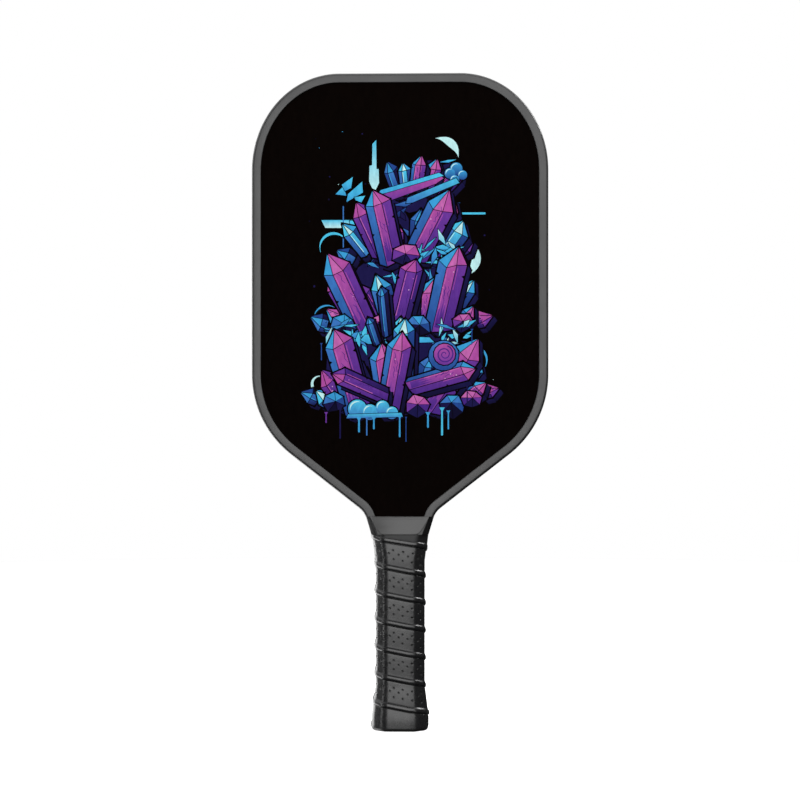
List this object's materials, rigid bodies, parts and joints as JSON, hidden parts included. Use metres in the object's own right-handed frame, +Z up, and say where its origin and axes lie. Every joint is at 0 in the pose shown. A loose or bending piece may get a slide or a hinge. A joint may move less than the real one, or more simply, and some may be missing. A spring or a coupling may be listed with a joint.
{
  "type": "pickleball paddle",
  "caption": "Elongated pickleball paddle: flat honeycomb-cored head in an edge guard, short octagonal handle with a ribbed helical grip and a flared butt cap.",
  "frame": {"origin": "centre of the flat butt end", "axes": "+Z runs up the handle to the top of the head, the front playing face looks to -Y, and +X is to the right seen from the front"},
  "size_m": [0.1892, 0.034, 0.419],
  "materials": {
    "core_polypropylene": "translucent white moulded honeycomb",
    "adhesive_film": "cured amber film",
    "face_composite": "woven fibre composite, matte",
    "graphic_film": "matte black printed film with a fine grit",
    "guard_plastic": "satin charcoal",
    "bonding_tape": "double-sided tape",
    "throat_plastic": "smooth satin grey",
    "handle_plastic": "satin black",
    "butt_plastic": "satin black",
    "staple_steel": "drawn steel wire",
    "grip_foam": "soft closed-cell foam",
    "rib_cord": "round braided cord",
    "grip_skin": "perforated synthetic leather, satin black",
    "finishing_tape": "smooth black tape"
  },
  "bodies": {
    "root": {"honeycomb_core": "core_polypropylene", "front_adhesive_film": "adhesive_film", "rear_adhesive_film": "adhesive_film", "front_face_sheet": "face_composite", "rear_face_sheet": "face_composite", "front_graphic_film": "graphic_film", "rear_graphic_film": "graphic_film", "edge_guard": "guard_plastic", "edge_guard_tape": "bonding_tape", "front_throat_plate": "throat_plastic", "rear_throat_plate": "throat_plastic", "front_handle_shell": "handle_plastic", "rear_handle_shell": "handle_plastic", "butt_cap": "butt_plastic", "front_butt_staple": "staple_steel", "rear_butt_staple": "staple_steel", "grip_foam_backing": "grip_foam", "grip_rib_cord": "rib_cord", "grip_outer_skin": "grip_skin", "finishing_tape": "finishing_tape"}
  },
  "joints": []
}
